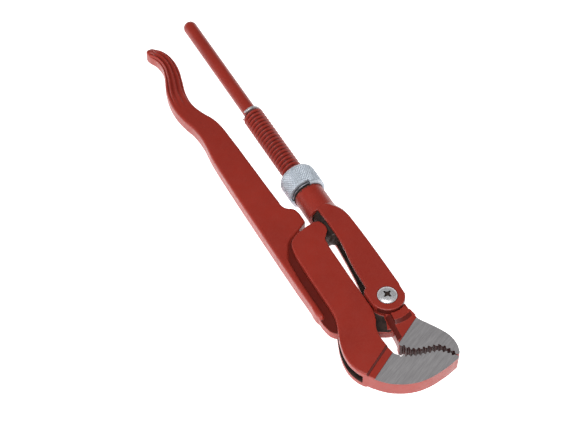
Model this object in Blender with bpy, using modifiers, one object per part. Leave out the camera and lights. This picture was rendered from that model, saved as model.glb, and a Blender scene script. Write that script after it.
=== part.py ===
"""Swedish pattern corner pipe wrench, one inch size, with S-shaped jaws.

The tool lies flat on its side. Z is up, the spindle lies along Y with the handles towards +Y and
the jaws towards -Y, and the pivot screw stands on the Z axis. The origin is moved at the end to
the middle of the underside of the whole tool. Lengths in the tables below are millimetres.
"""

import math

import bmesh
import bpy
from mathutils import Matrix, Vector

MM = 0.001
FIT_GAP = 0.3
# Cutters reach this far, past every side of the tool.
CUT_REACH = 60.0

# Driving dimensions of the two legs.
CHEEK_HALF = 7.2
SLOT_HALF = 3.2
WEB_HALF = SLOT_HALF - FIT_GAP
JAW_HALF = 5.2
RAMP_DROP = CHEEK_HALF - JAW_HALF
HANDLE_HALF = 5.0
SHOULDER_HALF = 7.6
SHOULDER_WIDTH = 5.6
BRIDGE_HALF = 5.4
EDGE_ROUND = 1.0
HANDLE_ROUND = 1.6

# The ground faces of both jaws end on one line across the tool: y = slope * x + GROUND_Y.
GROUND_ANGLE = math.radians(30.2)
GROUND_Y = -24.85
RAMP_LENGTH = 4.0
# The slot between the cheeks ends this far towards the handles from that line.
SLOT_END_OFFSET = 7.5
SLOT_RIGHT_X = -19.2

# Teeth of the jaws.
TOOTH_PITCH = 3.0
TOOTH_DEPTH = 1.3
# One tooth: (share of the pitch, share of the depth) at the flat tip and the valley.
TOOTH_SHAPE = ((0.0, 0.0), (0.3, 0.0), (0.42, 1.0), (0.6, 1.0))

# Spindle, thread (14 mm by 3 mm pitch) and rod handle, along Y.
ROOT_Y = 56.6
THREAD_START_Y = 92.0
THREAD_END_Y = 173.0
ROD_END_Y = 267.2
SHANK_R = 6.9
CREST_R = 7.2
THREAD_ROOT_R = 5.7
CORE_R = 4.6
PITCH = 3.0
THREAD_LAND = 0.8
THREAD_STEPS = 16
ROD_R = 4.65
RING_GROOVE_R = 4.0
RING_R = 6.9
RING_LOW_Y = THREAD_END_Y + 0.3
RING_TOP_Y = THREAD_END_Y + 1.7
RING_GROOVE_END_Y = THREAD_END_Y + 2.2

# Fork sleeve and adjusting nut.
BORE_R = CREST_R + FIT_GAP
SLEEVE_R = 9.9
SLEEVE_LOW_Y = 78.0
ARM_TOP_Y = 79.5
WAY_TOP_Y = SLEEVE_LOW_Y + FIT_GAP
SLEEVE_TOP_Y = 104.5
ARM_INNER = CHEEK_HALF + FIT_GAP
ARM_OUTER = 9.9
ARM_ROUND = 0.7
BOSS_INNER = 5.5
BOSS_R = 11.0
NUT_LOW_Y = 96.3
NUT_TOP_Y = 114.22
NUT_R = 12.3
NUT_CHAMFER = 1.3
NUT_SOCKET_R = SLEEVE_R + FIT_GAP
WIRE_R = 0.65
WIRE_Y = 98.2
WIRE_RING_R = 10.05
WIRE_ROOM = WIRE_R + FIT_GAP
WIRE_START = -80.0
WIRE_TURN = 350.0

# Pivot.
PIVOT_HOLE_R = 4.3
BARREL_R = 4.0
BARREL_BORE_R = 2.5
BARREL_END_Z = 8.7
SCREW_SHANK_R = 2.2
SCREW_END_Z = -5.0
HEAD_R = 6.1
HEAD_SEAT_Z = 9.0
SEAT_R = HEAD_R + 0.4
DOME_EDGE = 0.5
DOME_HEIGHT = 1.5
RECESS_HALF = 2.6
RECESS_HALF_WIDTH = 0.7
RECESS_TURN = 20.0
REAR_HEAD = 1.5
SOCKET_R = 2.4
LUG_R = 10.6
LUG_HALF = 5.1

SIDES_ROUND = 32


# ---------------------------------------------------------------- helpers


def clear_scene():
    for obj in list(bpy.data.objects):
        bpy.data.objects.remove(obj, do_unlink=True)


def new_collection(name, hidden=False):
    collection = bpy.data.collections.new(name)
    bpy.context.scene.collection.children.link(collection)
    collection.hide_render = hidden
    return collection


def new_material(name, colour, roughness, metallic):
    material = bpy.data.materials.new(name)
    material.use_nodes = True
    shader = material.node_tree.nodes["Principled BSDF"]
    shader.inputs["Base Color"].default_value = (*colour, 1.0)
    shader.inputs["Roughness"].default_value = roughness
    shader.inputs["Metallic"].default_value = metallic
    return material


def add_object(name, mesh, collection):
    obj = bpy.data.objects.new(name, mesh)
    collection.objects.link(obj)
    return obj


def hide_as_helper(obj):
    obj.hide_render = True
    obj.display_type = "WIRE"
    return obj


def mesh_of(obj):
    """The evaluated mesh of an object, welded and facing out. The object is removed."""
    bpy.context.view_layer.update()
    graph = bpy.context.evaluated_depsgraph_get()
    mesh = bpy.data.meshes.new_from_object(obj.evaluated_get(graph))
    mesh.transform(obj.matrix_world)
    bpy.data.objects.remove(obj, do_unlink=True)
    shape = bmesh.new()
    shape.from_mesh(mesh)
    bmesh.ops.remove_doubles(shape, verts=shape.verts, dist=1e-6)
    bmesh.ops.recalc_face_normals(shape, faces=shape.faces)
    shape.to_mesh(mesh)
    shape.free()
    return mesh


def outline_curve(name, points, half, rounding, resolution):
    """A flat outline of half thickness `half`. A point is (x, y) for a corner or (x, y, "s")
    for a smooth run."""
    data = bpy.data.curves.new(name, "CURVE")
    data.dimensions = "2D"
    data.fill_mode = "BOTH"
    data.resolution_u = resolution
    data.extrude = (half - rounding) * MM
    data.bevel_depth = rounding * MM
    data.bevel_resolution = 1
    data.offset = -rounding * MM
    spline = data.splines.new("BEZIER")
    spline.bezier_points.add(len(points) - 1)
    spline.use_cyclic_u = True
    for bezier, point in zip(spline.bezier_points, points):
        bezier.co = (point[0] * MM, point[1] * MM, 0.0)
        handle = "AUTO" if len(point) == 3 else "VECTOR"
        bezier.handle_left_type = handle
        bezier.handle_right_type = handle
    return data


def slab(name, points, half, rounding=0.0, z=0.0, resolution=4):
    """A solid of constant thickness about height z, from its outline."""
    curve = add_object(name, outline_curve(name, points, half, rounding, resolution), HELPERS)
    curve.location.z = z * MM
    return hide_as_helper(add_object(name, mesh_of(curve), HELPERS))


def box(name, low, high):
    """A box between two corners, in millimetres."""
    mesh = bpy.data.meshes.new(name)
    shape = bmesh.new()
    bmesh.ops.create_cube(shape, size=1.0)
    size = Vector(high) - Vector(low)
    middle = (Vector(high) + Vector(low)) / 2
    place = Matrix.Translation(middle * MM) @ Matrix.Diagonal((*(size * MM), 1.0))
    bmesh.ops.transform(shape, matrix=place, verts=shape.verts)
    shape.to_mesh(mesh)
    shape.free()
    return hide_as_helper(add_object(name, mesh, HELPERS))


def turned(name, profile, axis="Y", steps=SIDES_ROUND):
    """A turned shape: (radius, place along the axis) points, from one end to the other."""
    mesh = bpy.data.meshes.new(name)
    if axis == "Y":
        points = [(radius * MM, along * MM, 0.0) for radius, along in profile]
    else:
        points = [(radius * MM, 0.0, along * MM) for radius, along in profile]
    edges = [(i, i + 1) for i in range(len(points) - 1)]
    is_tube = profile[0][0] > 0.0
    if is_tube:
        edges.append((len(points) - 1, 0))
    mesh.from_pydata(points, edges, [])
    obj = add_object(name, mesh, HELPERS)
    screw = obj.modifiers.new("Turn", "SCREW")
    screw.axis = axis
    screw.steps = steps
    screw.render_steps = steps
    screw.use_merge_vertices = True
    screw.merge_threshold = 1e-6
    return hide_as_helper(add_object(name, mesh_of(obj), HELPERS))


def thread(name, grow, low_y, high_y):
    """A right-hand screw thread about Y between two heights. `grow` opens it for a nut."""
    land = THREAD_LAND - grow
    crest = THREAD_LAND + grow
    flank = (PITCH - land - crest) / 2
    root = THREAD_ROOT_R + grow
    top = CREST_R + grow
    turns_down = math.ceil((THREAD_START_Y - low_y) / PITCH) + 2
    start = THREAD_START_Y - turns_down * PITCH
    heights = [0.0, land, land + flank, land + flank + crest, PITCH]
    radii = [root, root, top, top, root]
    mesh = bpy.data.meshes.new(name)
    points = [(r * MM, (start - land / 2 + h) * MM, 0.0) for r, h in zip(radii, heights)]
    mesh.from_pydata(points, [(i, i + 1) for i in range(len(points) - 1)], [])
    obj = add_object(name, mesh, HELPERS)
    screw = obj.modifiers.new("Helix", "SCREW")
    screw.axis = "Y"
    screw.steps = THREAD_STEPS
    screw.render_steps = THREAD_STEPS
    screw.screw_offset = PITCH * MM
    screw.iterations = math.ceil((high_y - start) / PITCH) + 1
    screw.use_merge_vertices = True
    screw.merge_threshold = 1e-6
    mesh = mesh_of(obj)
    trim_ends(mesh, low_y, high_y)
    return hide_as_helper(add_object(name, mesh, HELPERS))


def trim_ends(mesh, low_y, high_y):
    """Cuts an open tube along Y square at both ends and closes it."""
    shape = bmesh.new()
    shape.from_mesh(mesh)
    for height, normal in ((low_y, -1.0), (high_y, 1.0)):
        everything = shape.verts[:] + shape.edges[:] + shape.faces[:]
        bmesh.ops.bisect_plane(
            shape,
            geom=everything,
            dist=1e-7,
            plane_co=(0.0, height * MM, 0.0),
            plane_no=(0.0, normal, 0.0),
            clear_outer=True,
        )
        rim = [edge for edge in shape.edges if edge.is_boundary and on_plane(edge, height)]
        bmesh.ops.contextual_create(shape, geom=rim)
    bmesh.ops.triangulate(shape, faces=[face for face in shape.faces if len(face.verts) > 4])
    bmesh.ops.recalc_face_normals(shape, faces=shape.faces)
    shape.to_mesh(mesh)
    shape.free()


def on_plane(edge, height):
    return all(abs(vert.co.y - height * MM) < 1e-6 for vert in edge.verts)


def combine(target, other, operation):
    """Adds a Boolean of one piece with another to the target."""
    modifier = target.modifiers.new(f"{operation.title()} {other.name}", "BOOLEAN")
    modifier.operation = operation
    modifier.object = other
    modifier.solver = "EXACT"
    return target


def finish_part(name, obj, material):
    """Names a finished piece, gives it its material and moves it among the parts."""
    HELPERS.objects.unlink(obj)
    PARTS.objects.link(obj)
    obj.name = name
    obj.data.name = name
    obj.hide_render = False
    obj.display_type = "TEXTURED"
    obj.data.materials.clear()
    obj.data.materials.append(material)
    obj.data.shade_smooth()
    obj.data.set_sharp_from_angle(angle=math.radians(35.0))
    return obj


def ground_line(x, offset=0.0):
    """Height of the line where the ground faces end, moved by `offset` towards the handles."""
    return math.tan(GROUND_ANGLE) * x + GROUND_Y + offset / math.cos(GROUND_ANGLE)


def arc(radius, start, end, count):
    """Points on a circle about the pivot, between two angles in degrees."""
    angles = [math.radians(start + (end - start) * step / count) for step in range(count + 1)]
    return [(radius * math.cos(angle), radius * math.sin(angle)) for angle in angles]


def teeth(points, side):
    """Teeth along the run of points that their tips lie on. The body of the jaw is to the left of
    the run for side 1, and to the right for side -1."""
    lengths = [math.dist(a, b) for a, b in zip(points, points[1:])]
    total = sum(lengths)
    count = round(total / TOOTH_PITCH)
    out = []
    for tooth in range(count):
        for share, depth in TOOTH_SHAPE:
            place, across = point_along(points, lengths, (tooth + share) / count * total)
            out.append(tuple(place + side * depth * TOOTH_DEPTH * across))
    return out


def point_along(points, lengths, distance):
    """The point at a distance along a run of points, and the unit vector to its left."""
    for start, end, length in zip(points, points[1:], lengths):
        if distance <= length + 1e-9:
            along = (Vector(end) - Vector(start)) / length
            return Vector(start) + along * distance, Vector((-along.y, along.x))
        distance -= length
    along = (Vector(points[-1]) - Vector(points[-2])).normalized()
    return Vector(points[-1]), Vector((-along.y, along.x))


# ---------------------------------------------------------------- spindle leg

CHEEK_OUTLINE = [
    (-20.5, 69.6, "s"), (-13.5, 71.2, "s"), (-8.4, 71.1, "s"), (-6.0, 68.0, "s"), (-6.0, 62.0, "s"),
    (-8.6, 58.8, "s"), (-10.8, 56.0, "s"), (-10.8, 53.2), (-11.35, 51.6), (-11.4, 42.0, "s"),
    (-11.6, 25.0), (-11.6, 5.0, "s"), (-12.0, -4.0, "s"), (-13.6, -9.8, "s"), (-16.4, -15.2, "s"),
    (-17.6, -21.0, "s"), (-17.5, -27.0, "s"), (-16.6, -33.0), (-18.0, -40.0), (-32.5, -48.0),
    (-36.9, -43.0), (-40.0, -39.4, "s"), (-42.5, -33.4, "s"), (-43.3, -26.4, "s"),
    (-41.4, -15.6, "s"), (-38.1, -7.2, "s"), (-34.9, 0.8, "s"), (-33.9, 8.0, "s"),
    (-33.8, 20.0, "s"), (-33.5, 40.0, "s"), (-32.2, 59.0, "s"), (-30.3, 64.2, "s"),
    (-26.6, 67.2, "s"),
]

LOWER_TIPS = [(-14.6, -37.2), (-8.6, -40.6), (-3.0, -42.9), (5.5, -44.8), (8.6, -45.9), (12.4, -49.2),
              (15.0, -53.2)]


def lower_jaw_outline():
    outside = [(-37.2, -42.8), (-35.4, -45.5, "s"), (-30.6, -50.9, "s"), (-25.2, -54.9, "s"),
               (-16.8, -58.7, "s"), (-8.6, -60.1, "s"), (3.6, -59.2, "s"), (13.0, -57.0, "s"),
               (16.2, -55.6, "s"), (15.9, -54.2)]
    run = list(reversed(teeth(LOWER_TIPS, -1.0)))
    throat = [(-16.0, -35.4), (-16.8, -33.2), (-17.6, ground_line(-17.6, RAMP_LENGTH))]
    return outside + run + throat + [(-35.8, ground_line(-35.8, RAMP_LENGTH))]


def ground_cutter(name, side):
    """Takes the front or back of the cheeks down to the jaw thickness, with a ramp."""
    start = -1.5 * RAMP_LENGTH
    deep = JAW_HALF - 0.1 * RAMP_DROP
    profile = [
        (start, CHEEK_HALF + 0.5 * RAMP_DROP), (0.1 * RAMP_LENGTH, deep), (CUT_REACH, deep),
        (CUT_REACH, 2 * CHEEK_HALF), (start, 2 * CHEEK_HALF),
    ]
    cutter = slab(name, profile, CUT_REACH)
    upright = Matrix.Rotation(math.radians(90.0), 4, "X")
    along = Matrix.Rotation(GROUND_ANGLE - math.radians(90.0), 4, "Z")
    place = Matrix.Translation(Vector((0.0, GROUND_Y, 0.0)) * MM)
    flip = Matrix.Diagonal((1.0, 1.0, side, 1.0))
    cutter.data.transform(flip @ place @ along @ upright)
    if side < 0:
        cutter.data.flip_normals()
    return cutter


def window_cutter():
    """The slot between the cheeks, through which the hooked leg passes."""
    low = [(x, ground_line(x, SLOT_END_OFFSET)) for x in (-CUT_REACH, 0.0)]
    right = [(0.0, ROOT_Y), (SLOT_RIGHT_X, ROOT_Y), (SLOT_RIGHT_X, THREAD_START_Y)]
    return slab("window", low + right + [(-CUT_REACH, THREAD_START_Y)], SLOT_HALF)


def spindle_profile():
    """Shank, slim core inside the thread, ring groove and rod handle with its rounded end."""
    return [
        (0.0, ROOT_Y), (SHANK_R - 1.2, ROOT_Y), (SHANK_R, ROOT_Y + 1.2), (SHANK_R, THREAD_START_Y + 1.0),
        (CORE_R, THREAD_START_Y + 3.0), (CORE_R, THREAD_END_Y - 2.0),
        (RING_GROOVE_R, THREAD_END_Y - 1.5), (RING_GROOVE_R, RING_GROOVE_END_Y),
        (ROD_R, RING_GROOVE_END_Y + 0.6), (ROD_R, ROD_END_Y - 3.0), (ROD_R - 0.9, ROD_END_Y - 1.1),
        (ROD_R - 2.4, ROD_END_Y), (0.0, ROD_END_Y),
    ]


def build_spindle_leg():
    leg = slab("cheeks", CHEEK_OUTLINE, CHEEK_HALF, EDGE_ROUND)
    combine(leg, ground_cutter("ground_front", 1), "DIFFERENCE")
    combine(leg, ground_cutter("ground_back", -1), "DIFFERENCE")
    combine(leg, window_cutter(), "DIFFERENCE")
    combine(leg, slab("lower_jaw", lower_jaw_outline(), JAW_HALF), "UNION")
    bridge = [(-14.0, ROOT_Y + 1.5), (0.0, ROOT_Y + 1.5), (0.0, 69.5), (-14.0, 69.5)]
    combine(leg, slab("bridge", bridge, BRIDGE_HALF), "UNION")
    combine(leg, turned("spindle", spindle_profile()), "UNION")
    combine(leg, thread("spindle_thread", 0.0, THREAD_START_Y, THREAD_END_Y), "UNION")
    return finish_part("spindle_leg", leg, RED_PAINT)


def build_stop_ring():
    """The split ring above the thread, open towards the hooked leg."""
    inner = RING_GROOVE_R + FIT_GAP
    profile = [(inner, RING_LOW_Y), (RING_R, RING_LOW_Y), (RING_R, RING_TOP_Y), (inner, RING_TOP_Y)]
    ring = turned("ring", profile)
    gap = box("ring_gap", (-1.3 * RING_R, THREAD_END_Y, -2.0), (0.0, THREAD_END_Y + 3.0, 3.6))
    combine(ring, gap, "DIFFERENCE")
    return finish_part("stop_ring", ring, BRIGHT_STEEL)


# ---------------------------------------------------------------- hooked leg

HANDLE_OUTLINE = [
    (-37.6, 254.8, "s"), (-34.6, 256.0, "s"), (-30.6, 253.4, "s"), (-26.9, 248.2, "s"), (-25.1, 241.5, "s"),
    (-25.3, 230.5, "s"), (-28.0, 219.5, "s"), (-31.3, 207.0, "s"), (-31.6, 196.5, "s"), (-29.2, 188.0, "s"),
    (-25.6, 180.0, "s"), (-23.8, 172.8, "s"), (-22.9, 160.0, "s"), (-21.9, 130.0, "s"), (-20.9, 100.0, "s"),
    (-20.5, 93.6, "s"), (-18.9, 90.9, "s"), (-15.9, 88.8, "s"), (-14.4, 86.0, "s"), (-13.9, 81.0, "s"),
    (-14.0, 76.2), (-20.1, 72.5), (-24.8, 70.2, "s"), (-28.8, 68.1, "s"), (-31.8, 65.2, "s"),
    (-34.0, 61.6, "s"), (-37.0, 56.0, "s"), (-38.2, 46.0, "s"), (-38.8, 30.0, "s"), (-38.8, 12.0, "s"),
    (-39.2, 8.2, "s"), (-40.6, 7.2, "s"), (-42.0, 8.8, "s"), (-42.4, 20.0, "s"), (-42.8, 47.0, "s"),
    (-42.7, 80.0, "s"), (-42.4, 127.0, "s"), (-41.7, 150.0, "s"), (-40.2, 166.0, "s"), (-40.9, 177.0, "s"),
    (-43.3, 187.0, "s"), (-44.5, 197.0, "s"), (-43.9, 207.0, "s"), (-41.2, 218.0, "s"), (-36.7, 229.0, "s"),
    (-34.8, 236.5, "s"), (-35.4, 244.0, "s"), (-37.8, 250.4, "s"),
]

WEB_OUTLINE = [
    (-20.1, 78.0), (-20.1, 14.6, "s"), (-18.2, 11.4, "s"), (-14.0, 10.6), (-4.0, 9.8), (-2.0, -13.0),
    (-7.0, -20.4), (-8.8, -20.4, "s"), (-11.5, -19.4, "s"), (-14.5, -17.7, "s"), (-18.5, -14.8, "s"),
    (-26.0, -10.6, "s"), (-35.0, -7.6, "s"), (-39.6, -4.6, "s"), (-41.7, 1.2, "s"), (-42.0, 12.0, "s"),
    (-42.3, 30.0), (-42.3, 78.0),
]

UPPER_TIPS = [(-9.9, -32.6), (-5.8, -38.0), (-1.5, -40.1), (8.3, -42.8), (11.2, -44.1), (13.6, -48.4),
              (15.5, -52.6)]


def upper_jaw_outline():
    right = [(17.4, -54.0, "s"), (19.2, -51.0, "s"), (20.2, -46.2, "s"), (19.7, -40.5, "s"),
             (17.4, -34.6, "s"), (12.9, -26.8, "s"), (9.2, -20.2, "s"), (8.0, -15.0, "s"), (8.0, -6.0)]
    left = [(-6.0, -6.0), (-7.4, -13.0, "s"), (-7.8, -18.0, "s"), (-8.3, -23.5, "s"), (-9.2, -28.0, "s"),
            (-10.3, -31.3)]
    return right + left + teeth(UPPER_TIPS, 1.0) + [(15.9, -53.4)]


def shoulder_outline():
    """The raised arc against which the round ends of the fork bear."""
    inner = BOSS_R + FIT_GAP
    outer = inner + SHOULDER_WIDTH
    return arc(inner, -118.0, -62.0, 8) + arc(outer, -62.0, -118.0, 8)


def pivot_hole(name):
    half = 2 * ARM_OUTER
    return turned(name, [(0.0, half), (PIVOT_HOLE_R, half), (PIVOT_HOLE_R, -half), (0.0, -half)], "Z")


def build_hooked_leg():
    leg = slab("handle", HANDLE_OUTLINE, HANDLE_HALF, HANDLE_ROUND, resolution=3)
    combine(leg, slab("web", WEB_OUTLINE, WEB_HALF), "UNION")
    lug = turned("lug", [(0.0, LUG_HALF), (LUG_R, LUG_HALF), (LUG_R, -LUG_HALF), (0.0, -LUG_HALF)], "Z")
    combine(leg, lug, "UNION")
    combine(leg, slab("upper_jaw", upper_jaw_outline(), JAW_HALF), "UNION")
    combine(leg, slab("shoulder", shoulder_outline(), SHOULDER_HALF), "UNION")
    combine(leg, pivot_hole("leg_hole"), "DIFFERENCE")
    return finish_part("hooked_leg", leg, RED_PAINT)


# ---------------------------------------------------------------- fork sleeve


def arm_outline():
    left = [(-4.3, ARM_TOP_Y), (-4.3, 50.0, "s"), (-7.2, 29.0, "s"), (-8.2, 11.0), (-10.1, 10.2),
            (-BOSS_R, 8.8)]
    right = [(10.6, 2.2), (11.1, 4.6), (11.1, 42.0, "s"), (10.5, 64.0, "s"), (9.8, ARM_TOP_Y)]
    return left + arc(BOSS_R, 180.0, 340.0, 16) + right


# The arms run into the round sleeve through this turned shape: (radius, place along Y).
ARM_BLEND = [(0.0, -30.0), (16.0, -30.0), (16.0, 40.0), (14.9, 56.0), (14.0, 64.0), (12.9, 71.0),
             (11.3, 75.5), (9.6, ARM_TOP_Y + 0.5), (0.0, ARM_TOP_Y + 0.5)]

# The rear arm stops short of the front one on the side of the cheeks.
REAR_RELIEF = [(-15.0, 14.0), (-7.3, 14.0), (-5.2, 25.0, "s"), (-3.5, 38.0, "s"), (-2.3, 50.0, "s"),
               (-1.7, 60.0, "s"), (-3.0, 69.0, "s"), (-6.0, 76.0), (-15.0, 76.0)]


def sleeve_profile():
    """The sleeve's wall, with the groove in which the wire ring lies."""
    groove_r = SLEEVE_R - 0.8
    return [
        (SLEEVE_R, SLEEVE_LOW_Y), (SLEEVE_R, WIRE_Y - WIRE_ROOM), (groove_r, WIRE_Y - WIRE_ROOM),
        (groove_r, WIRE_Y + WIRE_ROOM), (SLEEVE_R, WIRE_Y + WIRE_ROOM), (SLEEVE_R, SLEEVE_TOP_Y - 0.5),
        (SLEEVE_R - 0.5, SLEEVE_TOP_Y), (BORE_R - 1.0, SLEEVE_TOP_Y), (BORE_R - 1.0, SLEEVE_LOW_Y),
    ]


def build_fork_sleeve():
    fork = slab("arms", arm_outline(), ARM_OUTER, ARM_ROUND)
    combine(fork, turned("arm_blend", ARM_BLEND), "INTERSECT")
    combine(fork, turned("sleeve", sleeve_profile()), "UNION")
    bore = [(0.0, BOSS_R), (BORE_R, BOSS_R), (BORE_R, SLEEVE_TOP_Y + 5.0), (0.0, SLEEVE_TOP_Y + 5.0)]
    combine(fork, turned("bore", bore), "DIFFERENCE")
    cheek_way = box("cheek_way", (-CUT_REACH, BOSS_R + 1.0, -ARM_INNER), (0.0, WAY_TOP_Y, ARM_INNER))
    combine(fork, cheek_way, "DIFFERENCE")
    lug_way = box("lug_way", (-CUT_REACH, -CUT_REACH, -BOSS_INNER), (CUT_REACH, WAY_TOP_Y, BOSS_INNER))
    combine(fork, lug_way, "DIFFERENCE")
    combine(fork, slab("rear_relief", REAR_RELIEF, ARM_OUTER, z=-ARM_OUTER - 1.0), "DIFFERENCE")
    combine(fork, pivot_hole("fork_hole"), "DIFFERENCE")
    for name, side in (("seat_front", 1.0), ("seat_back", -1.0)):
        seat = side * HEAD_SEAT_Z
        profile = [(0.0, seat), (SEAT_R, seat), (SEAT_R, 2 * seat), (0.0, 2 * seat)]
        combine(fork, turned(name, profile, "Z"), "DIFFERENCE")
    return finish_part("fork_sleeve", fork, RED_PAINT)


def build_adjusting_nut():
    groove_r = WIRE_RING_R + WIRE_ROOM
    floor_y = SLEEVE_TOP_Y + FIT_GAP
    solid_r = THREAD_ROOT_R - 1.0
    profile = [
        (NUT_SOCKET_R, NUT_LOW_Y), (NUT_R - 0.6 * NUT_CHAMFER, NUT_LOW_Y), (NUT_R, NUT_LOW_Y + NUT_CHAMFER),
        (NUT_R, NUT_TOP_Y - NUT_CHAMFER), (NUT_R - NUT_CHAMFER, NUT_TOP_Y), (solid_r, NUT_TOP_Y),
        (solid_r, floor_y), (NUT_SOCKET_R, floor_y), (NUT_SOCKET_R, WIRE_Y + WIRE_ROOM),
        (groove_r, WIRE_Y + WIRE_ROOM), (groove_r, WIRE_Y - WIRE_ROOM), (NUT_SOCKET_R, WIRE_Y - WIRE_ROOM),
    ]
    nut = turned("nut", profile)
    combine(nut, thread("nut_thread", FIT_GAP, SLEEVE_TOP_Y - 1.0, NUT_TOP_Y + 1.0), "DIFFERENCE")
    slot_top = WIRE_Y + WIRE_ROOM + 0.2
    slot = box("wire_slot", (-CUT_REACH, NUT_LOW_Y - 1.0, -1.0), (1.0, slot_top, CUT_REACH))
    combine(nut, slot, "DIFFERENCE")
    return finish_part("adjusting_nut", nut, ZINC)


def build_retaining_wire():
    """The round wire ring that holds the nut on the sleeve, open by a small gap."""
    data = bpy.data.curves.new("wire", "CURVE")
    data.dimensions = "3D"
    data.bevel_depth = WIRE_R * MM
    data.bevel_resolution = 2
    data.use_fill_caps = True
    spline = data.splines.new("POLY")
    count = 40
    spline.points.add(count)
    for step, point in enumerate(spline.points):
        angle = math.radians(WIRE_START + WIRE_TURN * step / count)
        x = WIRE_RING_R * math.cos(angle)
        z = WIRE_RING_R * math.sin(angle)
        point.co = (x * MM, WIRE_Y * MM, z * MM, 1.0)
    curve = add_object("wire", data, HELPERS)
    wire = hide_as_helper(add_object("wire_ring", mesh_of(curve), HELPERS))
    return finish_part("nut_retaining_wire", wire, BRIGHT_STEEL)


# ---------------------------------------------------------------- pivot


def build_pivot_screw():
    """Domed screw head in the front arm, with its shank inside the sleeve nut."""
    under = HEAD_SEAT_Z + FIT_GAP
    angles = [math.radians(15.0 * step) for step in range(1, 7)]
    dome = [(HEAD_R * math.sin(a), under + DOME_EDGE + DOME_HEIGHT * math.cos(a)) for a in angles]
    shank = [(HEAD_R, under), (SCREW_SHANK_R, under), (SCREW_SHANK_R, SCREW_END_Z), (0.0, SCREW_END_Z)]
    screw = turned("screw", [(0.0, under + DOME_EDGE + DOME_HEIGHT)] + dome + shank, "Z")
    low = (-RECESS_HALF, -RECESS_HALF_WIDTH, under + 0.9)
    high = (RECESS_HALF, RECESS_HALF_WIDTH, 2 * HEAD_SEAT_Z)
    for name, turn in (("recess_a", RECESS_TURN), ("recess_b", RECESS_TURN + 90.0)):
        slot = box(name, low, high)
        slot.data.transform(Matrix.Rotation(math.radians(turn), 4, "Z"))
        combine(screw, slot, "DIFFERENCE")
    return finish_part("pivot_screw", screw, BRIGHT_STEEL)


def build_pivot_sleeve_nut():
    """The bearing barrel of the pivot, with a flat head in the rear arm."""
    under = -HEAD_SEAT_Z - FIT_GAP
    bottom = under - REAR_HEAD
    bore_end = SCREW_END_Z - 1.0
    profile = [
        (0.0, bore_end), (BARREL_BORE_R, bore_end), (BARREL_BORE_R, BARREL_END_Z), (BARREL_R, BARREL_END_Z),
        (BARREL_R, under), (HEAD_R, under), (HEAD_R, bottom + 0.7), (HEAD_R - 0.8, bottom), (0.0, bottom),
    ]
    barrel = turned("barrel", profile, "Z")
    top = under - FIT_GAP
    socket = [(0.0, top), (SOCKET_R, top), (SOCKET_R, bottom - 1.0), (0.0, bottom - 1.0)]
    combine(barrel, turned("socket", socket, "Z", 6), "DIFFERENCE")
    return finish_part("pivot_sleeve_nut", barrel, BRIGHT_STEEL)


# ---------------------------------------------------------------- whole tool


def centre_on_underside(objects):
    """Moves the tool so that the origin is the middle of the underside of its box."""
    bpy.context.view_layer.update()
    graph = bpy.context.evaluated_depsgraph_get()
    lows, highs = [], []
    for obj in objects:
        evaluated = obj.evaluated_get(graph)
        corners = [vert.co.copy() for vert in evaluated.to_mesh().vertices]
        lows.append([min(c[i] for c in corners) for i in range(3)])
        highs.append([max(c[i] for c in corners) for i in range(3)])
    low = Vector([min(v[i] for v in lows) for i in range(3)])
    high = Vector([max(v[i] for v in highs) for i in range(3)])
    shift = Vector((-(low.x + high.x) / 2, -(low.y + high.y) / 2, -low.z))
    for obj in bpy.data.objects:
        obj.location += shift


clear_scene()
PARTS = new_collection("pipe_wrench")
HELPERS = new_collection("cutters")
RED_PAINT = new_material("red_paint", (0.28, 0.045, 0.028), 0.42, 0.0)
BRIGHT_STEEL = new_material("bright_steel", (0.62, 0.62, 0.63), 0.22, 1.0)
ZINC = new_material("zinc", (0.56, 0.59, 0.63), 0.34, 1.0)

centre_on_underside([
    build_spindle_leg(),
    build_stop_ring(),
    build_hooked_leg(),
    build_fork_sleeve(),
    build_adjusting_nut(),
    build_retaining_wire(),
    build_pivot_screw(),
    build_pivot_sleeve_nut(),
])
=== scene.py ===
"""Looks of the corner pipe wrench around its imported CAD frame.

Shapes are made in millimetres about the pivot: +X away from the hooked leg, +Y along the spindle
towards the handles, +Z out of the tool's flat side. Each mesh is then moved to the CAD's place.
"""

import math

import bmesh
import bpy
import numpy as np
from mathutils import Matrix, Vector
from mathutils.geometry import intersect_point_line


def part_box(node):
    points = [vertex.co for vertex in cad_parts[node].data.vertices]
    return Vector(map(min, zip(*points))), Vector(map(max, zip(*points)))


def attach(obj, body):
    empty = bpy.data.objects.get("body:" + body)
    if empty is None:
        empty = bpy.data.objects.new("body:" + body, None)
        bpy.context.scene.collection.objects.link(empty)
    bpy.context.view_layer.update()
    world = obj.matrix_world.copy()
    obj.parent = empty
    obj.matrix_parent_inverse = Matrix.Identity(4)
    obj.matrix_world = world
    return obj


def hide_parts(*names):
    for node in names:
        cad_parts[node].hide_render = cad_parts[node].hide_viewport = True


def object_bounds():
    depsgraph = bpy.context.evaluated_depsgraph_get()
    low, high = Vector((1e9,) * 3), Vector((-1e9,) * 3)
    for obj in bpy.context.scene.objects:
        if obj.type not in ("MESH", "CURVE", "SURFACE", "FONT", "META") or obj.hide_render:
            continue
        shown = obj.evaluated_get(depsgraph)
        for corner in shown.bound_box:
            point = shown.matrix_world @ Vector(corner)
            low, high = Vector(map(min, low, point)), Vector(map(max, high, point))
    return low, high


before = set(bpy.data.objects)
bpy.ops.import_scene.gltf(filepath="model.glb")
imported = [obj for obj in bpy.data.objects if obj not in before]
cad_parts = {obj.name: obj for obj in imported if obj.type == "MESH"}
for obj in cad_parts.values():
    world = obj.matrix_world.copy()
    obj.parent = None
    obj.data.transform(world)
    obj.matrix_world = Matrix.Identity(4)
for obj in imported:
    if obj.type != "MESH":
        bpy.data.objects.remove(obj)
CAD_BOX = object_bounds()

MM = 0.001
WELD = 1e-6


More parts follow.
